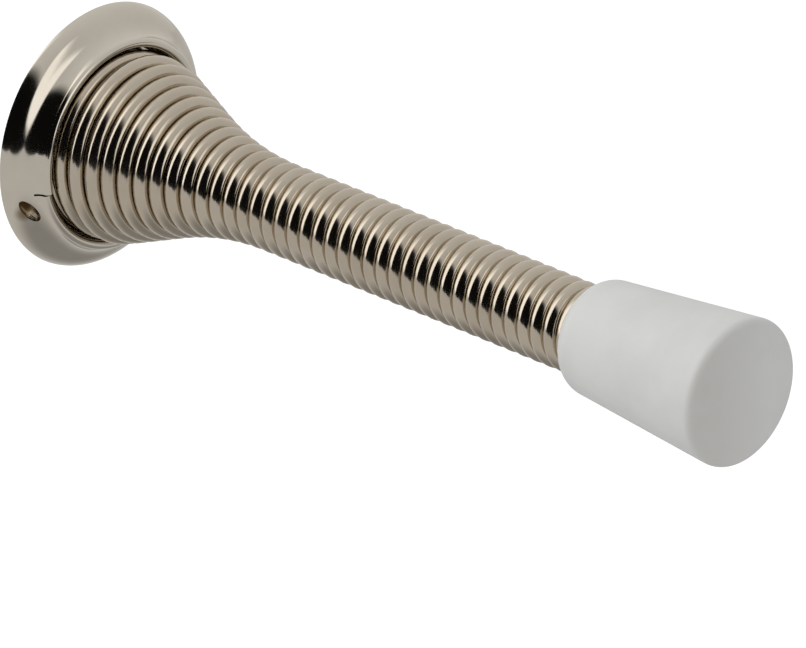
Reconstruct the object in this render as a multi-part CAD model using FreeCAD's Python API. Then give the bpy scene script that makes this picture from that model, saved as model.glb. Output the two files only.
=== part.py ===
import FreeCAD, Part
import math
import os

# Spring door stop: a stamped wall rose, a flared close-wound spring and a rubber tip.
# Millimetres. The wall is the plane Y = 0, the stop stands out of it along -Y and +Z is up.
# Heights are distances from the wall, and angles run from +X towards +Z.

projection = 79.4           # wall to the front of the tip

# Wall rose, pressed from one sheet
sheet = 0.8                 # sheet thickness
rim_radius = 12.5           # outside of the rim
rim_sink = 0.26             # centre of the rim's round, behind the wall's face
rim_round = 1.9             # outer round of the bead, down to the wall
crown_round = 3.5           # flatter crown of the bead
bead_turn = 60.0            # degrees of rim round before the crown begins
bead_reach = 3.38           # outside of the rim to the bore of the raised collar
collar_height = 3.55        # wall to the top of the collar
collar_round = 0.45         # roll along the collar's lip
collar_slope = 82.0         # degrees, outer flank of the collar
valley_round = 2.0          # hollow between the collar's flank and the crown
floor_fillet = 0.3          # inside corner between floor and collar
screw_hole_radius = 2.25    # clears a 4.2 mm fixing screw

# Lanced slit beside the collar, where the wire's tail goes under the lip. The bead's metal is
# pressed down to the wall there as a tongue.
slit_angle = 191.5
slit_width = 0.2
lance_angle = 16.0          # length of the lanced opening, degrees
lance_width = 1.1
lance_land = 0.45           # metal left between the collar's foot and the opening

# Spring
wire = 1.52                 # wire diameter
coil_gap = 0.05             # daylight between neighbouring turns
body_outside = 4.16         # outside radius of the straight run
seat_room = 0.26            # between the collar's bore and the turns inside it
seat_sink = 1.58            # collar's top down to the wire's centre where the first full turn begins
seat_angle = 190.0          # where that turn begins
seat_run = 2.9              # straight length of the seat before the flare
shoulder_round = 3.5        # meridian radius between seat and flare
flare_angle = 21.5          # half angle of the flare
waist_round = 30.0          # meridian radius between flare and straight run
open_start = 1.0            # turns, where the winding opens a little above the seat
open_turns = 1.3            # turns that are wound open
open_gap = 0.3              # extra daylight between those turns
tail_angle = 35.0           # last stretch of wire, which goes out under the lip
tail_reach = 1.25           # how far the tail moves outwards
tail_drop = 0.75            # how far it sinks towards the wall beyond its pitch
tail_clearance = 0.12       # room round the tail in the rose
tail_end_room = 2.0         # room beyond the end of the tail, degrees
tail_spans = 3              # pairs of arcs along the tail
spans_per_turn = 3          # pairs of arcs in each turn

# Rubber tip
tip_length = 18.0
tip_back_radius = 5.4
tip_front_radius = 6.85
tip_back_round = 2.2
tip_front_round = 0.7
tip_lip = 0.25              # flat ring round the mouth of the bore
tip_grip = 5.0              # length of spring inside the tip
tip_clearance = 0.03        # radial, round the spring
tip_end_clearance = 0.3     # beyond the end of the wire

# Working tolerances
same_place = 1e-6           # ends closer than this are one point
sewing = 1e-4               # seams closed along the wire
small_turn = 1e-4           # turns either side of a point, for the wire's direction

# Sizes that follow
collar_radius = rim_radius - bead_reach
pitch = wire + coil_gap
body_radius = body_outside - wire / 2
seat_radius = collar_radius - seat_room - wire / 2
seat_height = collar_height - seat_sink
tip_back = projection - tip_length
spring_end = tip_back + tip_grip


def at(radius, height):
    return FreeCAD.Vector(radius, -height, 0)


def line(start, end):
    return Part.LineSegment(start, end).toShape()


def arc(centre, radius, start_deg, end_deg):
    """Arc in the profile plane, angles from the radial direction towards larger heights."""
    middle_deg = (start_deg + end_deg) / 2
    ends = []
    for deg in (start_deg, middle_deg, end_deg):
        a = math.radians(deg)
        ends.append(at(centre[0] + radius * math.cos(a), centre[1] + radius * math.sin(a)))
    return Part.Arc(*ends).toShape()


def first_point(edge):
    return edge.valueAt(edge.FirstParameter)


def last_point(edge):
    return edge.valueAt(edge.LastParameter)


def turned(edges):
    """Solid of revolution about the stop's axis from a closed profile."""
    face = Part.Face(Part.Wire(edges))
    return face.revolve(FreeCAD.Vector(0, 0, 0), FreeCAD.Vector(0, 1, 0), 360)


def joined(curves):
    """The given curves in order, with straight lines across the spaces between them."""
    edges = []
    for current, following in zip(curves, curves[1:] + curves[:1]):
        edges.append(current)
        end, start = last_point(current), first_point(following)
        if end.distanceToPoint(start) > same_place:
            edges.append(line(end, start))
    return edges


def ring_sector(inner, outer, low, high, start_deg, sweep_deg):
    """Part of a flat ring about the axis, from one height to another."""
    corners = [at(inner, low), at(outer, low), at(outer, high), at(inner, high)]
    face = Part.Face(Part.makePolygon(corners + corners[:1]))
    block = face.revolve(FreeCAD.Vector(0, 0, 0), FreeCAD.Vector(0, -1, 0), sweep_deg)
    block.rotate(FreeCAD.Vector(0, 0, 0), FreeCAD.Vector(0, -1, 0), start_deg)
    return block


def wire_centre(turn):
    """Radius and height of the wire's centre, in turns from the start of the seat."""
    if turn < 0:
        share = -turn * 360 / tail_angle
        ease = share * share * (3 - 2 * share)
        return seat_radius + tail_reach * ease, seat_height + turn * pitch - tail_drop * ease
    run = turn * pitch + open_gap * min(max(turn - open_start, 0), open_turns)
    radius, height = seat_radius, seat_height
    slope = math.radians(flare_angle)
    rounds_drop = (shoulder_round + waist_round) * (1 - math.cos(slope))
    cone = (seat_radius - body_radius - rounds_drop) / math.sin(slope)
    stretches = [("line", seat_run, 0.0), ("arc", shoulder_round, 1), ("line", cone, slope),
                 ("arc", waist_round, -1)]
    angle = 0.0
    for kind, size, turn_to in stretches:
        length = size if kind == "line" else size * slope
        step = min(run, length)
        if kind == "line":
            radius -= step * math.sin(turn_to)
            height += step * math.cos(turn_to)
        else:
            swept = angle + turn_to * step / size
            radius -= turn_to * size * (math.cos(angle) - math.cos(swept))
            height += turn_to * size * (math.sin(swept) - math.sin(angle))
            angle = swept
        run -= step
        if run <= 0:
            return radius, height
    return radius, height + run


def wire_point(turn):
    radius, height = wire_centre(turn)
    a = math.radians(seat_angle + 360 * turn)
    return FreeCAD.Vector(radius * math.cos(a), -height, radius * math.sin(a))


def wire_direction(turn):
    return (wire_point(turn + small_turn) - wire_point(turn - small_turn)).normalize()


def bend(start, heading, end, diameter):
    """Round wire along the one circular arc that leaves start along heading and reaches end."""
    chord = end - start
    inward = chord - heading * chord.dot(heading)
    radius = chord.Length ** 2 / (2 * inward.Length)
    inward.normalize()
    centre = start + inward * radius
    sweep = 2 * math.asin(chord.Length / (2 * radius))
    section = Part.Circle(start, heading, diameter / 2).toShape()
    return section.revolve(centre, heading.cross(inward), math.degrees(sweep))


def bends_between(start, end, diameter):
    """Two tangent arcs that follow the wire from one turn count to another."""
    from_point, from_heading = wire_point(start), wire_direction(start)
    to_point, to_heading = wire_point(end), wire_direction(end)
    across = to_point - from_point
    both = from_heading + to_heading
    spread = 2 * (1 - from_heading.dot(to_heading))
    along = across.dot(both)
    reach = (math.sqrt(along * along + spread * across.dot(across)) - along) / spread
    middle = (from_point + to_point + (from_heading - to_heading) * reach) * 0.5
    middle_heading = (across - both * reach).normalize()
    first = bend(from_point, from_heading, middle, diameter)
    return [first, bend(middle, middle_heading, to_point, diameter)]


def wound(stops, diameter):
    """Solid round wire through the given turn counts."""
    faces = []
    for start, end in zip(stops, stops[1:]):
        faces += bends_between(start, end, diameter)
    for turn in (stops[0], stops[-1]):
        rim = Part.Circle(wire_point(turn), wire_direction(turn), diameter / 2).toShape()
        faces.append(Part.Face(Part.Wire([rim])))
    skin = Part.Compound(faces)
    skin.sewShape(sewing)
    return Part.makeSolid(skin.Shells[0])


def tail_stops(angle):
    """Turn counts along the tail, from its free end to the start of the seat."""
    return [-angle / 360 * (tail_spans - i) / tail_spans for i in range(tail_spans + 1)]


def last_turn():
    """Turn count at which the wire reaches its end inside the tip."""
    whole = 0
    while wire_centre(whole)[1] < spring_end - wire / 2:
        whole += 1
    excess = wire_centre(whole)[1] - (spring_end - wire / 2)
    return whole - excess / pitch


def base_flange():
    # The bead is a small round at the rim that runs into a flatter crown.
    foot = math.asin(rim_sink / rim_round)
    rim_centre = (rim_radius - rim_round * math.cos(foot), -rim_sink)
    joint = math.radians(bead_turn)
    back = crown_round - rim_round
    crown_centre = (rim_centre[0] - back * math.cos(joint), rim_centre[1] - back * math.sin(joint))

    # The collar's flank comes down from the lip and turns through the valley into the crown.
    flank = math.radians(collar_slope)
    outward = (math.sin(flank), math.cos(flank))
    lip_centre = (collar_radius + collar_round, collar_height - collar_round)
    across = (lip_centre[0] - crown_centre[0]) * outward[0] + (lip_centre[1] - crown_centre[1]) * outward[1]
    valley_off = across + collar_round + valley_round
    valley_along = -math.sqrt((crown_round + valley_round) ** 2 - valley_off ** 2)
    valley_centre = (crown_centre[0] + valley_off * outward[0] + valley_along * outward[1],
                     crown_centre[1] + valley_off * outward[1] - valley_along * outward[0])
    rise = (valley_centre[0] - crown_centre[0], valley_centre[1] - crown_centre[1])
    crown_end = math.degrees(math.atan2(rise[1], rise[0]))
    flank_deg = 90 - collar_slope
    lip = arc(lip_centre, collar_round, 180, flank_deg)
    valley = arc(valley_centre, valley_round, flank_deg + 180, crown_end + 180)
    crown = arc(crown_centre, crown_round, crown_end, bead_turn)
    rim = arc(rim_centre, rim_round, bead_turn, math.degrees(foot))

    # Underside of the bead, which leaves a flat foot on the wall.
    wall_radius = collar_radius + sheet
    under_deg = math.degrees(math.acos((wall_radius - crown_centre[0]) / (crown_round - sheet)))
    under_foot = math.degrees(math.asin(rim_sink / (rim_round - sheet)))
    under_rim = arc(rim_centre, rim_round - sheet, under_foot, bead_turn)
    under_crown = arc(crown_centre, crown_round - sheet, bead_turn, under_deg)

    fillet = arc((collar_radius - floor_fillet, sheet + floor_fillet), floor_fillet, -90, 0)
    floor_top = line(at(screw_hole_radius, sheet), at(collar_radius - floor_fillet, sheet))
    floor_back = line(at(wall_radius, 0), at(screw_hole_radius, 0))
    outside = [floor_top, fillet, lip, valley, crown, rim]
    rose = turned(joined(outside + [under_rim, under_crown, floor_back]))

    # Radial slit through the collar, and the opening lanced in the bead over the tongue.
    half_slit = math.degrees(slit_width / 2 / collar_radius)
    above = collar_height + sheet
    lance_inner = first_point(valley).x + lance_land
    slit = ring_sector(collar_radius - wire / 2, lance_inner, sheet + floor_fillet, above,
                       slit_angle - half_slit, 2 * half_slit)
    lance = ring_sector(lance_inner, lance_inner + lance_width, sheet, above,
                        slit_angle - half_slit, lance_angle)
    tongue = ring_sector(wall_radius - sheet / 2, rim_radius - sheet / 2, 0, sheet,
                         slit_angle - half_slit, lance_angle)
    tail_groove = wound(tail_stops(tail_angle + tail_end_room), wire + 2 * tail_clearance)
    return rose.fuse(tongue).cut(slit).cut(lance).cut(tail_groove)


def coil_spring():
    end = last_turn()
    stops = tail_stops(tail_angle)
    for i in range(1, math.ceil(end * spans_per_turn)):
        stops.append(i / spans_per_turn)
    return wound(stops + [end], wire)


def rubber_tip():
    bore = body_outside + tip_clearance
    bore_end = spring_end + tip_end_clearance
    taper = math.degrees(math.atan((tip_front_radius - tip_back_radius) / tip_length))
    back_radius = tip_back_radius - tip_back_round
    mouth_turn = math.acos((bore + tip_lip - back_radius) / tip_back_round)
    back_centre = (back_radius, tip_back + tip_back_round * math.sin(mouth_turn))
    front_centre = (tip_front_radius - tip_front_round, projection - tip_front_round)
    back_round = arc(back_centre, tip_back_round, -math.degrees(mouth_turn), -taper)
    front_round = arc(front_centre, tip_front_round, -taper, 90)
    mouth = line(at(bore, bore_end), at(bore, tip_back))
    front = line(at(0, projection), at(0, bore_end))
    return turned(joined([mouth, back_round, front_round, front]))


os.makedirs("parts", exist_ok=True)
for build in (base_flange, coil_spring, rubber_tip):
    shape = build()
    print(build.__name__, shape.isValid(), len(shape.Solids), round(shape.Volume, 3))
    shape.exportStep("parts/" + build.__name__ + ".step")
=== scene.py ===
import math

import bmesh
import bpy
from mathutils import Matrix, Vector


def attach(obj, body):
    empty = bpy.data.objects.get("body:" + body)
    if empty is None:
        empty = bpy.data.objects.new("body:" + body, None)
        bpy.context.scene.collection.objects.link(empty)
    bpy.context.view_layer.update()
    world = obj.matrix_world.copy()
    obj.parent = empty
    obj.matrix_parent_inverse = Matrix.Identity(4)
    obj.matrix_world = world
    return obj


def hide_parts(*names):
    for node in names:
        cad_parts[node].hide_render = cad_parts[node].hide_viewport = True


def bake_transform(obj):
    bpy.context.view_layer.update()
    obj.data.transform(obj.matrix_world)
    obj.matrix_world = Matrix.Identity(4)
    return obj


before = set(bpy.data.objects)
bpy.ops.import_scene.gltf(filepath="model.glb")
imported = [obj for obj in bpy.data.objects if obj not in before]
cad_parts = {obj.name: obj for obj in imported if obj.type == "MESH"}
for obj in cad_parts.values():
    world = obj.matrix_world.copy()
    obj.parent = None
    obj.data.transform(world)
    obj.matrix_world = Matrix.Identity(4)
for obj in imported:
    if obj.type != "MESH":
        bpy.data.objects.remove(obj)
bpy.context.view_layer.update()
print("frame loaded:", ", ".join(sorted(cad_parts)))

mm = 0.001
scene = bpy.context.scene
scene.view_settings.view_transform = 'Standard'


def onAxis(radius, height, degrees):
    # the stop stands out of the wall along -Y, angles run from +X up towards +Z
    a = math.radians(degrees)
    return Vector((radius * math.cos(a), -height, radius * math.sin(a))) * mm


def smooth(value):
    t = min(max(value, 0.0), 1.0)
    return t * t * (3 - 2 * t)


def arcPoints(centre, radius, startDeg, endDeg, steps):
    points = []
    for i in range(steps + 1):
        a = math.radians(startDeg + (endDeg - startDeg) * i / steps)
        points.append((centre[0] + radius * math.cos(a), centre[1] + radius * math.sin(a)))
    return points


def linePoints(start, end, steps):
    # points strictly between the two ends
    return [(start[0] + (end[0] - start[0]) * i / steps, start[1] + (end[1] - start[1]) * i / steps)
            for i in range(1, steps)]


def addMesh(name, verts, faces, sharpDeg):
    mesh = bpy.data.meshes.new(name)
    mesh.from_pydata([tuple(v) for v in verts], [], faces)
    shell = bmesh.new()
    shell.from_mesh(mesh)
    bmesh.ops.recalc_face_normals(shell, faces=shell.faces)
    shell.to_mesh(mesh)
    shell.free()
    mesh.shade_smooth()
    mesh.set_sharp_from_angle(angle=math.radians(sharpDeg))
    obj = bpy.data.objects.new(name, mesh)
    scene.collection.objects.link(obj)
    return obj


def ringBlock(name, inner, outer, low, high, startDeg, endDeg, steps):
    # sector of a ring
    verts, faces = [], []
    for s in range(steps + 1):
        a = startDeg + (endDeg - startDeg) * s / steps
        verts += [onAxis(inner, low, a), onAxis(outer, low, a)]
        verts += [onAxis(outer, high, a), onAxis(inner, high, a)]
    for s in range(steps):
        b = 4 * s
        for i in range(4):
            j = (i + 1) % 4
            faces.append((b + i, b + j, b + 4 + j, b + 4 + i))
    faces += [(3, 2, 1, 0), tuple(4 * steps + i for i in range(4))]
    return addMesh(name, verts, faces, sharpDeg=30)


def eggShape(name, middle, axes, steps):
    # closed round shape, axes are three vectors from its middle
    verts, faces = [middle + axes[2], middle - axes[2]], []
    for i in range(1, steps):
        tilt = math.pi * i / steps
        for k in range(2 * steps):
            turn = math.pi * k / steps
            flat = axes[0] * math.cos(turn) + axes[1] * math.sin(turn)
            verts.append(middle + flat * math.sin(tilt) + axes[2] * math.cos(tilt))
    row = 2 * steps
    for k in range(row):
        m = (k + 1) % row
        faces.append((0, 2 + k, 2 + m))
        faces.append((1, 2 + (steps - 2) * row + m, 2 + (steps - 2) * row + k))
        for i in range(steps - 2):
            b = 2 + i * row
            faces.append((b + k, b + row + k, b + row + m, b + m))
    return addMesh(name, verts, faces, sharpDeg=60)


def reshape(obj, tool, operation, sharpDeg):
    step = obj.modifiers.new("reshape", 'BOOLEAN')
    step.operation = operation
    step.solver = 'EXACT'
    step.object = tool
    graph = bpy.context.evaluated_depsgraph_get()
    made = bpy.data.meshes.new_from_object(obj.evaluated_get(graph))
    obj.modifiers.clear()
    obj.data = made
    made.shade_smooth()
    made.set_sharp_from_angle(angle=math.radians(sharpDeg))
    bpy.data.objects.remove(tool)


def newMaterial(name):
    mat = bpy.data.materials.new(name)
    mat.use_nodes = True
    return mat, mat.node_tree, mat.node_tree.nodes["Principled BSDF"]


def addNode(tree, kind, x, y, **values):
    node = tree.nodes.new(kind)
    node.location = (x, y)
    for key, value in values.items():
        setattr(node, key, value)
    return node


def fill(tree, sockets, values):
    # a socket takes a fixed value, or another node's output
    for socket, value in zip(sockets, values):
        if isinstance(value, bpy.types.NodeSocket):
            tree.links.new(value, socket)
        else:
            socket.default_value = value


def feed(tree, node, values):
    # values by the names of the node's sockets
    fill(tree, [node.inputs[name] for name in values], values.values())


def rangeNode(tree, x, y, source, fromMin, fromMax, toMin, toMax, curve='LINEAR'):
    node = addNode(tree, 'ShaderNodeMapRange', x, y, interpolation_type=curve)
    fill(tree, node.inputs, (source, fromMin, fromMax, toMin, toMax))
    return node.outputs["Result"]


def mathNode(tree, x, y, operation, first, second):
    node = addNode(tree, 'ShaderNodeMath', x, y, operation=operation)
    fill(tree, node.inputs, (first, second))
    return node.outputs[0]


def vectorNode(tree, x, y, operation, *values):
    node = addNode(tree, 'ShaderNodeVectorMath', x, y, operation=operation)
    fill(tree, node.inputs, values)
    return node.outputs


def mixNode(tree, x, y, kind, factor, first, second):
    # the sockets for colours stand after those for numbers
    node = addNode(tree, 'ShaderNodeMix', x, y, data_type=kind)
    at, out = (6, 2) if kind == 'RGBA' else (2, 0)
    fill(tree, (node.inputs["Factor"], node.inputs[at], node.inputs[at + 1]), (factor, first, second))
    return node.outputs[out]


def noiseNode(tree, x, y, source, scale, detail, rough=0.5):
    node = addNode(tree, 'ShaderNodeTexNoise', x, y)
    feed(tree, node, {"Vector": source, "Scale": scale, "Detail": detail, "Roughness": rough})
    return node.outputs["Fac"]


def addBump(tree, shader, height, strength, depth):
    node = addNode(tree, 'ShaderNodeBump', -250, -250)
    feed(tree, node, {"Height": height, "Strength": strength, "Distance": depth * mm})
    feed(tree, shader, {"Normal": node.outputs["Normal"]})


plating = {
    "cloudDetail": 5,
    "cloudRough": 0.6,
    "cloudRange": (0.35, 0.7),
    "pitDetail": 3,
    "hairTurn": (0.4, 0.9, 0.3),
    "hairScale": (1500, 60, 2600),     # long in one slanting direction
    "hairDetail": 1,
    "hairRange": (0.70, 0.80),
    "hairStrength": 0.5,
}


def makePlatingGroup(d):
    # cloudy plating with fine pits and hairlines, for both metal pieces
    group = bpy.data.node_groups.new("platingHaze", 'ShaderNodeTree')
    for way, kind, names in (('INPUT', 'NodeSocketColor', ("Bright", "Dull")),
                             ('INPUT', 'NodeSocketFloat', ("Patch Scale", "Pit Scale", "Smooth", "Rough")),
                             ('OUTPUT', 'NodeSocketColor', ("Color",)),
                             ('OUTPUT', 'NodeSocketFloat', ("Roughness", "Height"))):
        for name in names:
            group.interface.new_socket(name=name, in_out=way, socket_type=kind)
    start = addNode(group, 'NodeGroupInput', -1100, 0).outputs
    end = addNode(group, 'NodeGroupOutput', 700, 0)
    place = addNode(group, 'ShaderNodeTexCoord', -1100, -300).outputs["Object"]

    patches = noiseNode(group, -700, 250, place, start["Patch Scale"], d["cloudDetail"], d["cloudRough"])
    cloud = rangeNode(group, -480, 250, patches, *d["cloudRange"], 0.0, 1.0)
    pits = noiseNode(group, -700, -100, place, start["Pit Scale"], d["pitDetail"])
    lay = addNode(group, 'ShaderNodeMapping', -900, -450)
    feed(group, lay, {"Vector": place, "Rotation": d["hairTurn"], "Scale": d["hairScale"]})
    lines = noiseNode(group, -700, -450, lay.outputs["Vector"], 1.0, d["hairDetail"])
    hair = rangeNode(group, -480, -450, lines, *d["hairRange"], 0.0, d["hairStrength"])

    worn = mathNode(group, -80, 0, 'MAXIMUM', mathNode(group, -250, 0, 'MULTIPLY', cloud, pits), hair)
    feed(group, end, {
        "Color": mixNode(group, 0, 300, 'RGBA', cloud, start["Bright"], start["Dull"]),
        "Roughness": mixNode(group, 100, 0, 'FLOAT', worn, start["Smooth"], start["Rough"]),
        "Height": mathNode(group, 100, -250, 'SUBTRACT', pits, hair),
    })
    return group


platingHaze = makePlatingGroup(plating)


def platedMetal(name, look):
    # Principled metal and the shared plating group that feeds it
    mat, tree, shader = newMaterial(name)
    haze = addNode(tree, 'ShaderNodeGroup', -900, 200, node_tree=platingHaze)
    feed(tree, haze, {
        "Bright": (*look["bright"], 1),
        "Dull": (*look["dull"], 1),
        "Patch Scale": look["patchScale"],
        "Pit Scale": look["pitScale"],
        "Smooth": look["smooth"],
        "Rough": look["rough"],
    })
    feed(tree, shader, {"Metallic": 1.0})
    return mat, tree, shader, haze.outputs


# the wire's path is needed by the rose too, for the groove that its tail lies in
spring = {
    "wire": 1.52,
    "coilGap": 0.05,
    "bodyRadius": 3.40,
    "seatRadius": 8.10,
    "seatHeight": 1.97,
    "seatAngle": 190.0,
    "seatRun": 2.9,
    "shoulderRound": 3.5,
    "flareAngle": 21.5,
    "waistRound": 30.0,
    "openStart": 1.0,
    "openTurns": 1.3,
    "openGap": 0.3,
    "tailAngle": 35.0,
    "tailReach": 1.25,
    "tailDrop": 0.75,
    "tailRoom": 0.12,
    "tailEndRoom": 2.0,
    "springEnd": 66.4,
    "stepsPerTurn": 48,
    "ringSteps": 20,
    "endRound": 0.12,
    "bendStart": 8.0,
    "bendEnd": 56.0,
    "bright": (0.61, 0.54, 0.44),
    "dull": (0.545, 0.47, 0.37),
    "patchScale": 160.0,
    "pitScale": 2600.0,
    "smooth": 0.09,
    "rough": 0.19,
    "pitStrength": 0.05,
    "pitDepth": 0.02,
    "drawAlong": 0.09,                 # fine lines left by the drawing die
    "drawAround": 46.0,
    "drawDetail": 3,
    "drawRange": (0.35, 0.75),
    "drawRough": 0.07,
}


def wireCentre(d, turn):
    # radius and height of the wire's centre, in turns from the start of the seat
    pitch = d["wire"] + d["coilGap"]
    radius, height, angle = d["seatRadius"], d["seatHeight"], 0.0
    if turn < 0:                       # tail, which goes out under the collar's lip
        share = -turn * 360 / d["tailAngle"]
        ease = share * share * (3 - 2 * share)
        return radius + d["tailReach"] * ease, height + turn * pitch - d["tailDrop"] * ease
    run = turn * pitch + d["openGap"] * min(max(turn - d["openStart"], 0), d["openTurns"])
    slope = math.radians(d["flareAngle"])
    rounds = (d["shoulderRound"] + d["waistRound"]) * (1 - math.cos(slope))
    cone = (d["seatRadius"] - d["bodyRadius"] - rounds) / math.sin(slope)
    for bendRadius, length in ((0, d["seatRun"]), (d["shoulderRound"], d["shoulderRound"] * slope), (0, cone),
                               (-d["waistRound"], d["waistRound"] * slope)):
        step = min(run, length)
        if bendRadius == 0:
            radius -= step * math.sin(angle)
            height += step * math.cos(angle)
        else:
            swept = angle + step / bendRadius
            radius -= bendRadius * (math.cos(angle) - math.cos(swept))
            height += bendRadius * (math.sin(swept) - math.sin(angle))
            angle = swept
        run -= step
        if run <= 0:
            return radius, height
    return radius, height + run


def wirePoint(d, turn):
    radius, height = wireCentre(d, turn)
    return onAxis(radius, height, d["seatAngle"] + 360 * turn)


def wireTube(name, d, firstTurn, lastTurn, half, endRound):
    # round wire between two turn counts, with slightly broken edges at its cut ends
    count = math.ceil((lastTurn - firstTurn) * d["stepsPerTurn"])
    small = 1e-4                       # turns either side, to find the wire's direction
    ring = d["ringSteps"]
    verts, faces = [], []
    for i in range(count + 1):
        turn = firstTurn + (lastTurn - firstTurn) * i / count
        centre = wirePoint(d, turn)
        forward = (wirePoint(d, turn + small) - wirePoint(d, turn - small)).normalized()
        out = Vector((centre.x, 0, centre.z)).normalized()
        out = (out - forward * out.dot(forward)).normalized()
        side = forward.cross(out)
        rings = [(0.0, half)]
        if i == 0:
            rings = [(0.0, half - endRound), (endRound, half)]
        elif i == count:
            rings = [(-endRound, half), (0.0, half - endRound)]
        for shift, radius in rings:
            for k in range(ring):
                a = 2 * math.pi * k / ring
                spoke = out * math.cos(a) + side * math.sin(a)
                verts.append(centre + (forward * shift + spoke * radius) * mm)
    rows = len(verts) // ring
    for s in range(rows - 1):
        for k in range(ring):
            m = (k + 1) % ring
            faces.append((s * ring + k, s * ring + m, (s + 1) * ring + m, (s + 1) * ring + k))
    faces.append(tuple(reversed(range(ring))))
    faces.append(tuple((rows - 1) * ring + k for k in range(ring)))
    return addMesh(name, verts, faces, sharpDeg=40)


rose = {
    "sheet": 0.8,
    "rimRadius": 12.5,
    "rimSink": 0.26,
    "rimRound": 1.9,
    "crownRound": 3.5,
    "beadTurn": 60.0,
    "collarRadius": 9.12,
    "collarHeight": 3.55,
    "collarRound": 0.45,
    "collarSlope": 82.0,
    "valleyRound": 2.0,
    "floorFillet": 0.3,
    "screwHole": 2.25,
    "slitAngle": 191.5,
    "slitWidth": 0.2,
    "slitIn": 0.7,                     # how far it reaches inside the collar
    "slitOut": 10.47,
    "stepShare": 0.8,                  # the collar's step falls within this share of the slit
    "lipSpread": 0.05,                 # past the slit the lip stands out and down a little
    "lipDrop": 0.30,
    "lipFade": 55.0,
    "tongueBack": 0.02,
    "tongueTop": 1.0,
    "tongueSpare": 1.0,                # degrees past the scoop, each side
    "scoopRadius": 11.10,
    "scoopHeight": 1.75,
    "scoopAngle": 199.8,
    "scoopSkew": 20.0,                 # the scoop runs inwards as it leaves the slit
    "scoopSize": (0.52, 1.55, 1.10),
    "grooveEnd": 0.02,                 # turns past the start of the seat
    "grooveRound": 0.05,
    "steps": 360,
    "sharp": 32.0,
    "bright": (0.69, 0.635, 0.545),
    "dull": (0.63, 0.57, 0.48),
    # painted shade in the scoop: its dark brown colour, where it lies and how far it reaches
    "scoopShadeColour": (0.30, 0.22, 0.13),
    "scoopShadeHeight": 1.0,
    "scoopShadeReach": (0.6, 1.3),
    "scoopShadeRough": 0.22,
    "patchScale": 120.0,
    "pitScale": 2600.0,
    "smooth": 0.08,
    "rough": 0.17,
    "pitStrength": 0.05,
    "pitDepth": 0.02,
}


def roseProfile(d):
    # closed section of (radius, height): floor, collar, valley, bead, rim and back
    foot = math.asin(d["rimSink"] / d["rimRound"])
    rimCentre = (d["rimRadius"] - d["rimRound"] * math.cos(foot), -d["rimSink"])
    joint = math.radians(d["beadTurn"])
    back = d["crownRound"] - d["rimRound"]
    crownCentre = (rimCentre[0] - back * math.cos(joint), rimCentre[1] - back * math.sin(joint))
    flank = math.radians(d["collarSlope"])
    outward = (math.sin(flank), math.cos(flank))
    lipCentre = (d["collarRadius"] + d["collarRound"], d["collarHeight"] - d["collarRound"])
    # the valley's round touches the collar's flank and the crown
    across = (lipCentre[0] - crownCentre[0]) * outward[0] + (lipCentre[1] - crownCentre[1]) * outward[1]
    off = across + d["collarRound"] + d["valleyRound"]
    along = -math.sqrt((d["crownRound"] + d["valleyRound"]) ** 2 - off ** 2)
    valleyCentre = (crownCentre[0] + off * outward[0] + along * outward[1],
                    crownCentre[1] + off * outward[1] - along * outward[0])
    crownEnd = math.degrees(math.atan2(valleyCentre[1] - crownCentre[1], valleyCentre[0] - crownCentre[0]))
    flankDeg = 90 - d["collarSlope"]
    wall = d["collarRadius"] + d["sheet"]
    under = d["crownRound"] - d["sheet"]
    underDeg = math.degrees(math.acos((wall - crownCentre[0]) / under))
    underRim = d["rimRound"] - d["sheet"]
    underFoot = math.degrees(math.asin(d["rimSink"] / underRim))

    fillet = d["floorFillet"]
    floorIn = (d["screwHole"], d["sheet"])
    floorOut = (d["collarRadius"] - fillet, d["sheet"])
    corner = arcPoints((floorOut[0], d["sheet"] + fillet), fillet, -90, 0, steps=5)
    lip = arcPoints(lipCentre, d["collarRound"], 180, flankDeg, steps=14)
    valley = arcPoints(valleyCentre, d["valleyRound"], flankDeg + 180, crownEnd + 180, steps=10)
    points = [floorIn] + linePoints(floorIn, floorOut, steps=6) + corner
    points += linePoints(corner[-1], lip[0], steps=5) + lip
    points += linePoints(lip[-1], valley[0], steps=5) + valley
    points += arcPoints(crownCentre, d["crownRound"], crownEnd, d["beadTurn"], steps=12)[1:]
    points += arcPoints(rimCentre, d["rimRound"], d["beadTurn"], math.degrees(foot), steps=16)[1:]
    points += arcPoints(rimCentre, underRim, underFoot, d["beadTurn"], steps=5)
    points += arcPoints(crownCentre, under, d["beadTurn"], underDeg, steps=6)[1:]
    points += [(wall, 0), (d["screwHole"], 0)]
    return points


def rosePlace(d, radius, height, degrees):
    # the section's point, moved where the collar is sprung open past the slit
    fade = 1 - smooth((degrees - d["slitAngle"]) % 360 / d["lipFade"])
    raised = smooth((height - d["sheet"] - d["floorFillet"]) / (d["collarHeight"] - d["sheet"]))
    near = 1 - smooth((radius - d["collarRadius"] - d["sheet"]) / d["sheet"])
    share = fade * raised * near
    return onAxis(radius + d["lipSpread"] * share, height - d["lipDrop"] * share, degrees)


def roseShell(d, halfSlit):
    # the section taken once round, from one side of the slit to the other
    profile = roseProfile(d)
    count, steps = len(profile), d["steps"]
    edge = halfSlit * d["stepShare"]
    verts, faces = [], []
    for s in range(steps):
        degrees = d["slitAngle"] + edge + (360 - 2 * edge) * s / (steps - 1)
        verts += [rosePlace(d, r, h, degrees) for r, h in profile]
        here, there = s * count, (s + 1) % steps * count
        for i in range(count):
            j = (i + 1) % count
            faces.append((here + i, here + j, there + j, there + i))
    return addMesh("wallRose", verts, faces, d["sharp"])


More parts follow.
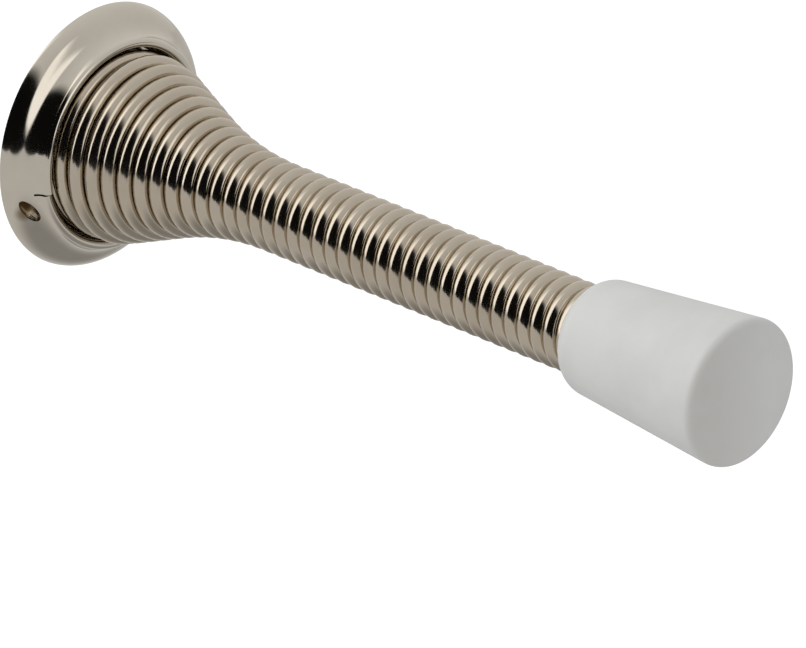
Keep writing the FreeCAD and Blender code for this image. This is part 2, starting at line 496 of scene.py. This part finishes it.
def pressRose(obj, d, halfSlit):
    # beside the slit: metal under the bead, then the scoop, the slit and the tail's groove
    wide = math.degrees(d["scoopSize"][1] / d["scoopRadius"]) + d["tongueSpare"]
    tongue = ringBlock("tongue", d["collarRadius"] + d["sheet"] / 2, d["rimRadius"] - d["sheet"],
                       d["tongueBack"], d["tongueTop"],
                       d["scoopAngle"] - wide, d["scoopAngle"] + wide, steps=14)
    across = onAxis(d["scoopSize"][0], 0, d["scoopAngle"] + d["scoopSkew"])
    along = onAxis(d["scoopSize"][1], 0, d["scoopAngle"] + d["scoopSkew"] + 90)
    deep = onAxis(0, d["scoopSize"][2], 0)
    scoopMiddle = onAxis(d["scoopRadius"], d["scoopHeight"], d["scoopAngle"])
    scoop = eggShape("scoop", scoopMiddle, (across, along, deep), steps=24)
    slit = ringBlock("slit", d["collarRadius"] - d["slitIn"], d["slitOut"],
                     d["sheet"] + d["floorFillet"], d["collarHeight"] + d["sheet"],
                     d["slitAngle"] - halfSlit, d["slitAngle"] + halfSlit, steps=2)
    first = -(spring["tailAngle"] + spring["tailEndRoom"]) / 360
    groove = wireTube("groove", spring, first, d["grooveEnd"], spring["wire"] / 2 + spring["tailRoom"],
                      d["grooveRound"])
    reshape(obj, tongue, 'UNION', d["sharp"])
    for tool in (scoop, slit, groove):
        reshape(obj, tool, 'DIFFERENCE', d["sharp"])


def roseMaterial(d):
    mat, tree, shader, haze = platedMetal("rosePlating", d)
    # painted shade inside the scoop: dark brown, with a rougher finish there, fading out from its middle
    place = addNode(tree, 'ShaderNodeTexCoord', -1300, -200)
    scoopShadeMiddle = onAxis(d["scoopRadius"], d["scoopShadeHeight"], d["scoopAngle"])
    away = vectorNode(tree, -1100, -200, 'DISTANCE', place.outputs["Object"], scoopShadeMiddle)
    near, far = d["scoopShadeReach"]
    scoopShadeMask = rangeNode(tree, -900, -200, away["Value"], near * mm, far * mm, 1.0, 0.0, 'SMOOTHSTEP')
    dulled = mathNode(tree, -500, 0, 'MULTIPLY', scoopShadeMask, d["scoopShadeRough"])
    feed(tree, shader, {
        "Base Color": mixNode(tree, -400, 300, 'RGBA', scoopShadeMask, haze["Color"], (*d["scoopShadeColour"], 1)),
        "Roughness": mathNode(tree, -300, 0, 'ADD', haze["Roughness"], dulled),
    })
    addBump(tree, shader, haze["Height"], d["pitStrength"], d["pitDepth"])
    return mat


def makeRose(d):
    halfSlit = math.degrees(d["slitWidth"] / 2 / d["collarRadius"])
    obj = roseShell(d, halfSlit)
    pressRose(obj, d, halfSlit)
    obj.data.materials.clear()
    obj.data.materials.append(roseMaterial(d))
    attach(obj, "wall_rose")
    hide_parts("base_flange")
    return obj


wallRose = makeRose(rose)
print("wall rose:", len(wallRose.data.polygons), "faces")


def mapWire(obj, ring):
    # u runs along the wire in rows, v once round it
    layer = obj.data.uv_layers.new(name="wire")
    for face in obj.data.polygons:
        around = [obj.data.loops[i].vertex_index % ring for i in face.loop_indices]
        for i, k in zip(face.loop_indices, around):
            closing = k == 0 and max(around) == ring - 1
            row = obj.data.loops[i].vertex_index // ring
            layer.data[i].uv = (row, 1.0 if closing else k / ring)


def springMaterial(d):
    mat, tree, shader, haze = platedMetal("springPlating", d)
    place = addNode(tree, 'ShaderNodeUVMap', -1500, -200, uv_map="wire")
    stretch = addNode(tree, 'ShaderNodeMapping', -1300, -200)
    feed(tree, stretch, {"Vector": place.outputs["UV"], "Scale": (d["drawAlong"], d["drawAround"], 1)})
    marks = noiseNode(tree, -1100, -200, stretch.outputs["Vector"], 1.0, d["drawDetail"])
    drawn = rangeNode(tree, -900, -200, marks, *d["drawRange"], 0.0, d["drawRough"])
    feed(tree, shader, {
        "Base Color": haze["Color"],
        "Roughness": mathNode(tree, -500, 0, 'ADD', haze["Roughness"], drawn),
    })
    height = mathNode(tree, -500, -300, 'ADD', haze["Height"], marks)
    addBump(tree, shader, height, d["pitStrength"], d["pitDepth"])
    return mat


def makeSpring(d):
    pitch = d["wire"] + d["coilGap"]
    top = d["springEnd"] - d["wire"] / 2
    lastTurn = 0
    while wireCentre(d, lastTurn)[1] < top:
        lastTurn += 1
    lastTurn -= (wireCentre(d, lastTurn)[1] - top) / pitch     # back to where the wire ends
    obj = wireTube("coilSpring", d, -d["tailAngle"] / 360, lastTurn, d["wire"] / 2, d["endRound"])
    mapWire(obj, d["ringSteps"])
    obj.data.materials.append(springMaterial(d))
    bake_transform(obj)
    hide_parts("coil_spring")
    return obj


coilSpring = makeSpring(spring)
print("spring:", len(coilSpring.data.polygons), "faces")


tip = {
    "front": 79.4,
    "length": 18.0,
    "backRadius": 5.4,
    "frontRadius": 6.85,
    "backRound": 2.2,
    "frontRound": 0.7,
    "lip": 0.25,
    "bore": 4.19,
    "boreEnd": 66.7,
    "steps": 160,
    "sharp": 35.0,
    "colour": (0.80, 0.80, 0.78),
    "shade": (0.76, 0.76, 0.74),
    "patchScale": 220.0,
    "patchDetail": 4,
    "patchRange": (0.35, 0.62),
    # painted shade on the striking face, a grey tone
    "faceShadeColour": (0.66, 0.65, 0.62),
    "faceShadeDepth": (1.0, 0.1),        # behind the striking face, from unshaded to painted shade
    "faceShadeSide": (4.5, -5.5),        # across the face, from unshaded to painted shade, darker towards -X
    "faceShadeNoiseRange": (0.4, 0.7),
    "faceShadeLeast": 0.6,
    "rough": (0.5, 0.62),
    "grainScale": 5200.0,
    "grainDetail": 3,
    "grainStrength": 0.12,
    "grainDepth": 0.03,
    "refraction": 1.48,
}


def tipProfile(d):
    # rings from the blind end of the bore, out over the skin, to near the middle of the front
    taper = math.degrees(math.atan((d["frontRadius"] - d["backRadius"]) / d["length"]))
    back = d["front"] - d["length"]
    backCentreRadius = d["backRadius"] - d["backRound"]
    mouth = math.acos((d["bore"] + d["lip"] - backCentreRadius) / d["backRound"])
    backCentre = (backCentreRadius, back + d["backRound"] * math.sin(mouth))
    frontCentre = (d["frontRadius"] - d["frontRound"], d["front"] - d["frontRound"])
    boreCorner, boreMouth = (d["bore"], d["boreEnd"]), (d["bore"], back)
    backArc = arcPoints(backCentre, d["backRound"], -math.degrees(mouth), -taper, steps=10)
    frontArc = arcPoints(frontCentre, d["frontRound"], -taper, 90, steps=12)
    rings = [(d["bore"] / 2, d["boreEnd"]), boreCorner]
    rings += linePoints(boreCorner, boreMouth, steps=4) + [boreMouth]
    rings += backArc + linePoints(backArc[-1], frontArc[0], steps=12) + frontArc
    rings += linePoints(frontArc[-1], (0, d["front"]), steps=8)
    return rings


def tipShell(d):
    rings, steps = tipProfile(d), d["steps"]
    verts, faces = [], []
    for r, h in rings:
        verts += [onAxis(r, h, 360 * s / steps) for s in range(steps)]
    verts += [onAxis(0, d["boreEnd"], 0), onAxis(0, d["front"], 0)]
    inner, outer, last = len(verts) - 2, len(verts) - 1, (len(rings) - 1) * steps
    nextStep = [(s + 1) % steps for s in range(steps)]
    for b in range(0, last, steps):
        for s, t in enumerate(nextStep):
            faces.append((b + s, b + steps + s, b + steps + t, b + t))
    for s, t in enumerate(nextStep):
        faces.append((inner, s, t))
        faces.append((outer, last + t, last + s))
    return addMesh("rubberTip", verts, faces, d["sharp"])


def rubberMaterial(d):
    mat, tree, shader = newMaterial("whiteRubber")
    place = addNode(tree, 'ShaderNodeTexCoord', -1300, 0).outputs["Object"]
    cloud = noiseNode(tree, -1000, 200, place, d["patchScale"], d["patchDetail"])
    tone = addNode(tree, 'ShaderNodeValToRGB', -750, 250)
    feed(tree, tone, {"Fac": cloud})
    for element, spot, colour in zip(tone.color_ramp.elements, d["patchRange"], (d["shade"], d["colour"])):
        element.position = spot
        element.color = (*colour, 1.0)

    # painted shade across the striking face, grey, darker towards -X and in soft patches
    apart = addNode(tree, 'ShaderNodeSeparateXYZ', -1000, 500)
    feed(tree, apart, {"Vector": place})
    behind = [(depth - d["front"]) * mm for depth in d["faceShadeDepth"]]
    aside = [x * mm for x in d["faceShadeSide"]]
    face = rangeNode(tree, -750, 550, apart.outputs["Y"], *behind, 0.0, 1.0)
    side = rangeNode(tree, -950, 1050, apart.outputs["X"], *aside, 0.0, 1.0, 'SMOOTHSTEP')
    shadePatches = rangeNode(tree, -950, 800, cloud, *d["faceShadeNoiseRange"], d["faceShadeLeast"], 1.0)
    faceShadeMask = mathNode(tree, -550, 600, 'MULTIPLY', face, mathNode(tree, -750, 900, 'MULTIPLY', shadePatches, side))

    feed(tree, shader, {
        "Base Color": mixNode(tree, -450, 300, 'RGBA', faceShadeMask, tone.outputs["Color"], (*d["faceShadeColour"], 1)),
        "Roughness": rangeNode(tree, -750, -50, cloud, 0.0, 1.0, *d["rough"]),
        "IOR": d["refraction"],
    })
    grain = noiseNode(tree, -1000, -200, place, d["grainScale"], d["grainDetail"])
    addBump(tree, shader, grain, d["grainStrength"], d["grainDepth"])
    return mat


def makeTip(d):
    obj = tipShell(d)
    obj.data.materials.append(rubberMaterial(d))
    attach(obj, "sprung_arm")
    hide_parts("rubber_tip")
    return obj


rubberTip = makeTip(tip)
print("rubber tip:", len(rubberTip.data.polygons), "faces")


studio = {
    "middle": (0.0, -35.0, 0.0),
    "floorBelow": 90.0,
    "floorSize": 2000.0,
    "floorFront": 370.0,               # the floor's front edge, from the wall
    "floorColour": (0.8, 0.8, 0.8),
    "floorRough": 0.9,
    "floorGlow": 0.52,
    "sky": 0.53,
    "keyFrom": (-0.5, 0.42, 0.76),
    "keyAway": 900.0,
    "keySize": 800.0,
    "keyPower": 2.6,
    "tableBelow": 88.0,
    "tableLevel": 0.60,
    "shadeMiddle": (20.0, -50.0, -88.0),    # soft shadow under the stop
    "shadeReach": (30.0, 105.0),
    "shadeDrop": 0.30,
    "roomRadius": 1600.0,
    "roomLevels": (0.60, 0.78),        # grey room that the metal mirrors, in front and at the wall
    "darkTurn": 152.0,                 # unlit side of the room, about the stop's axis
    "darkTop": (-38.0, -24.0),
    "darkLow": (60.0, 75.0),
    "darkBack": (0.47, 0.56),
    "darkSlant": 0.26,
    "darkLevel": 0.004,
    "sweepTop": (-75.0, -35.0),        # bright wall behind the unlit side
    "sweepLow": (33.0, 50.0),
    "sweepLevel": 1.55,
    "boxTowards": (0.2, -0.947, 0.25),   # round white panel in front, over a dark gap
    "boxEdge": (0.86, 0.91),
    "boxFade": (0.08, 0.36),
    "boxLevel": 1.25,
    "gapLow": (-0.04, 0.02),
    "gapDepth": (-0.75, -0.55),
    "holeShadeRadius": 2.6,                 # painted shade behind the screw hole: a dark disc
    "holeShadeBehind": 0.2,
    "holeShadeSteps": 32,
    "holeShadeColour": (0.01, 0.01, 0.01),
}


def shineOnly(obj):
    # stage pieces that only the metal's shine sees
    obj.visible_camera = False
    obj.visible_shadow = False
    obj.visible_transmission = False
    obj.visible_diffuse = False


def bareMaterial(name):
    mat = bpy.data.materials.new(name)
    mat.use_nodes = True
    mat.node_tree.nodes.clear()
    return mat, mat.node_tree, addNode(mat.node_tree, 'ShaderNodeOutputMaterial', 650, 0)


def glowMaterial(name):
    # white glow, whose strength is linked afterwards
    mat, tree, out = bareMaterial(name)
    glow = addNode(tree, 'ShaderNodeEmission', 450, 0)
    feed(tree, out, {"Surface": glow.outputs["Emission"]})
    return mat, tree, glow


def flatSheet(name, size, front, below):
    half, near, far, z = size * mm / 2, -front * mm, (size - front) * mm, -below * mm
    corners = [(-half, near, z), (half, near, z), (half, far, z), (-half, far, z)]
    return addMesh(name, corners, [(0, 1, 2, 3)], sharpDeg=30)


def riseMask(tree, x, y, source, pair):
    # rises from 0 to 1 between the pair
    return rangeNode(tree, x, y, source, *pair, 0.0, 1.0, 'SMOOTHSTEP')


def fallMask(tree, x, y, source, pair):
    # falls from 1 to 0 between the pair
    return rangeNode(tree, x, y, source, *pair, 1.0, 0.0, 'SMOOTHSTEP')


def turnMask(tree, x, y, angle, top, low):
    # 1 between two angles about the axis
    rise = riseMask(tree, x, y, angle, [math.radians(v) for v in top])
    fall = fallMask(tree, x, y - 250, angle, [math.radians(v) for v in low])
    return mathNode(tree, x + 200, y, 'MULTIPLY', rise, fall)


def roomMaterial(d):
    mat, tree, glow = glowMaterial("roomLight")
    place = addNode(tree, 'ShaderNodeNewGeometry', -2200, 0)
    outward = vectorNode(tree, -2000, 0, 'SUBTRACT', place.outputs["Position"], Vector(d["middle"]) * mm)
    unit = vectorNode(tree, -1800, 0, 'NORMALIZE', outward["Vector"])["Vector"]
    turned = addNode(tree, 'ShaderNodeVectorRotate', -1600, 0, rotation_type='AXIS_ANGLE')
    feed(tree, turned, {"Vector": unit, "Axis": (0, 1, 0), "Angle": math.radians(d["darkTurn"])})
    apart = addNode(tree, 'ShaderNodeSeparateXYZ', -1400, 0)
    feed(tree, apart, {"Vector": turned.outputs["Vector"]})
    upright = addNode(tree, 'ShaderNodeSeparateXYZ', -1400, -1600)
    feed(tree, upright, {"Vector": unit})
    facing = vectorNode(tree, -1400, -1400, 'DOT_PRODUCT', unit, d["boxTowards"])
    angle = mathNode(tree, -1200, 200, 'ARCTAN2', apart.outputs["Z"], apart.outputs["X"])
    depth = apart.outputs["Y"]
    lean = mathNode(tree, -1250, -300, 'MULTIPLY', angle, d["darkSlant"])
    slant = mathNode(tree, -1100, -300, 'SUBTRACT', depth, lean)

    darkTurns = turnMask(tree, -900, 600, angle, d["darkTop"], d["darkLow"])
    darkDepth = fallMask(tree, -900, 0, slant, d["darkBack"])
    darkSide = mathNode(tree, -500, 300, 'MULTIPLY', darkTurns, darkDepth)
    low = fallMask(tree, -900, -1650, upright.outputs["Z"], d["gapLow"])
    gapDepth = fallMask(tree, -900, -1900, depth, d["gapDepth"])
    gap = mathNode(tree, -400, -1900, 'MULTIPLY', gapDepth, low)
    dark = mathNode(tree, -350, 300, 'MAXIMUM', darkSide, gap)
    sweepTurns = turnMask(tree, -900, -600, angle, d["sweepTop"], d["sweepLow"])
    sweepDepth = riseMask(tree, -900, -1100, slant, d["darkBack"])
    sweep = mathNode(tree, -400, -600, 'MULTIPLY', sweepTurns, sweepDepth)
    spot = riseMask(tree, -900, -1400, facing["Value"], d["boxEdge"])
    fade = fallMask(tree, -900, -2150, upright.outputs["X"], d["boxFade"])
    box = mathNode(tree, -400, -1400, 'MULTIPLY', spot, fade)

    level = rangeNode(tree, -900, 900, depth, -1.0, 1.0, *d["roomLevels"])
    level = mixNode(tree, -200, 0, 'FLOAT', dark, level, d["darkLevel"])
    level = mixNode(tree, 0, 0, 'FLOAT', sweep, level, d["sweepLevel"])
    level = mixNode(tree, 200, 0, 'FLOAT', box, level, d["boxLevel"])
    feed(tree, glow, {"Strength": level})
    return mat


def makeRoom(d):
    # big round room, seen by reflections only
    axes = [Vector(v) * d["roomRadius"] * mm for v in ((1, 0, 0), (0, 0, 1), (0, -1, 0))]
    obj = eggShape("room", Vector(d["middle"]) * mm, axes, steps=24)
    obj.data.materials.append(roomMaterial(d))
    shineOnly(obj)


def makeTable(d):
    # grey table top under the stop, seen by reflections only
    obj = flatSheet("tableTop", d["floorSize"], d["floorFront"], d["tableBelow"])
    mat, tree, glow = glowMaterial("tableTop")
    place = addNode(tree, 'ShaderNodeNewGeometry', -800, 0)
    away = vectorNode(tree, -600, 0, 'DISTANCE', place.outputs["Position"], Vector(d["shadeMiddle"]) * mm)
    near, far = d["shadeReach"]
    lit = d["tableLevel"]
    shaded = lit - d["shadeDrop"]
    level = rangeNode(tree, -300, 0, away["Value"], near * mm, far * mm, shaded, lit, 'SMOOTHSTEP')
    feed(tree, glow, {"Strength": level})
    obj.data.materials.append(mat)
    shineOnly(obj)


def makeHoleShade(d):
    # dark disc behind the screw hole, painted shade in the hole, clear from behind
    steps = d["holeShadeSteps"]
    verts = [onAxis(d["holeShadeRadius"], -d["holeShadeBehind"], 360 * i / steps) for i in range(steps)]
    obj = addMesh("holeShadeDisc", verts, [tuple(range(steps))], sharpDeg=30)
    mat, tree, out = bareMaterial("holeShadeDisc")
    side = addNode(tree, 'ShaderNodeNewGeometry', -400, 200)
    dark = addNode(tree, 'ShaderNodeBsdfDiffuse', -400, 0)
    feed(tree, dark, {"Color": (*d["holeShadeColour"], 1)})
    clear = addNode(tree, 'ShaderNodeBsdfTransparent', -400, -200)
    mix = addNode(tree, 'ShaderNodeMixShader', -150, 0)
    fill(tree, mix.inputs, (side.outputs["Backfacing"], clear.outputs["BSDF"], dark.outputs["BSDF"]))
    feed(tree, out, {"Surface": mix.outputs["Shader"]})
    obj.data.materials.append(mat)


def makeKey(d):
    towards = Vector(d["keyFrom"]).normalized()
    lamp = bpy.data.lights.new("key", 'AREA')
    lamp.shape = 'SQUARE'
    lamp.size = d["keySize"] * mm
    lamp.energy = d["keyPower"]
    obj = bpy.data.objects.new("key", lamp)
    scene.collection.objects.link(obj)
    obj.location = (Vector(d["middle"]) + towards * d["keyAway"]) * mm
    obj.rotation_mode = 'QUATERNION'
    obj.rotation_quaternion = (-towards).to_track_quat('-Z', 'Y')
    obj.visible_glossy = False


def backgroundRays(tree, x, y):
    # what the camera sees directly, in metal or through glass
    path = addNode(tree, 'ShaderNodeLightPath', x, y).outputs
    shine = mathNode(tree, x + 200, y, 'MAXIMUM', path["Is Glossy Ray"], path["Is Transmission Ray"])
    return mathNode(tree, x + 400, y, 'MAXIMUM', path["Is Camera Ray"], shine)


def makeFloor(d):
    obj = flatSheet("floor", d["floorSize"], d["floorFront"], d["floorBelow"])
    mat, tree, shader = newMaterial("paleFloor")
    seen = backgroundRays(tree, -900, -200)
    feed(tree, shader, {
        "Base Color": (*d["floorColour"], 1),
        "Roughness": d["floorRough"],
        "Emission Color": (1, 1, 1, 1),
        "Emission Strength": mathNode(tree, -250, -200, 'MULTIPLY', seen, d["floorGlow"]),
    })
    obj.data.materials.append(mat)


def makeWorld(d):
    world = bpy.data.worlds.new("studio")
    scene.world = world
    world.use_nodes = True
    tree = world.node_tree
    seen = backgroundRays(tree, -900, 0)
    glow = rangeNode(tree, -300, 0, seen, 0.0, 1.0, d["sky"], 1.0)
    feed(tree, tree.nodes["Background"], {"Color": (1, 1, 1, 1), "Strength": glow})


makeFloor(studio)
makeWorld(studio)
makeKey(studio)
makeRoom(studio)
makeTable(studio)
makeHoleShade(studio)
print("studio: floor, world, key light, room, table top and wall plug")


shot = {
    "azimuth": -46.235,
    "elevation": 25.203,
    "distance": 1197.6,
    "aim": (0.0, -39.7, 0.0),
    "slide": (-0.9645, -5.575),        # sideways and up, to frame the stop above the middle
    "lens": 601.7,
    "sensor": 36.0,
    "clip": (50.0, 20000.0),
}


def makeCamera(d):
    a, e = math.radians(d["azimuth"]), math.radians(d["elevation"])
    back = Vector((math.sin(a) * math.cos(e), -math.cos(a) * math.cos(e), math.sin(e)))
    right = Vector((math.cos(a), math.sin(a), 0))
    up = back.cross(right)
    data = bpy.data.cameras.new("camera")
    data.lens = d["lens"]
    data.sensor_width = d["sensor"]
    data.clip_start, data.clip_end = [reach * mm for reach in d["clip"]]
    obj = bpy.data.objects.new("camera", data)
    scene.collection.objects.link(obj)
    obj.location = (Vector(d["aim"]) + back * d["distance"] + right * d["slide"][0] + up * d["slide"][1]) * mm
    obj.rotation_mode = 'QUATERNION'
    obj.rotation_quaternion = (-back).to_track_quat('-Z', 'Y')
    scene.camera = obj


makeCamera(shot)
print("camera placed")
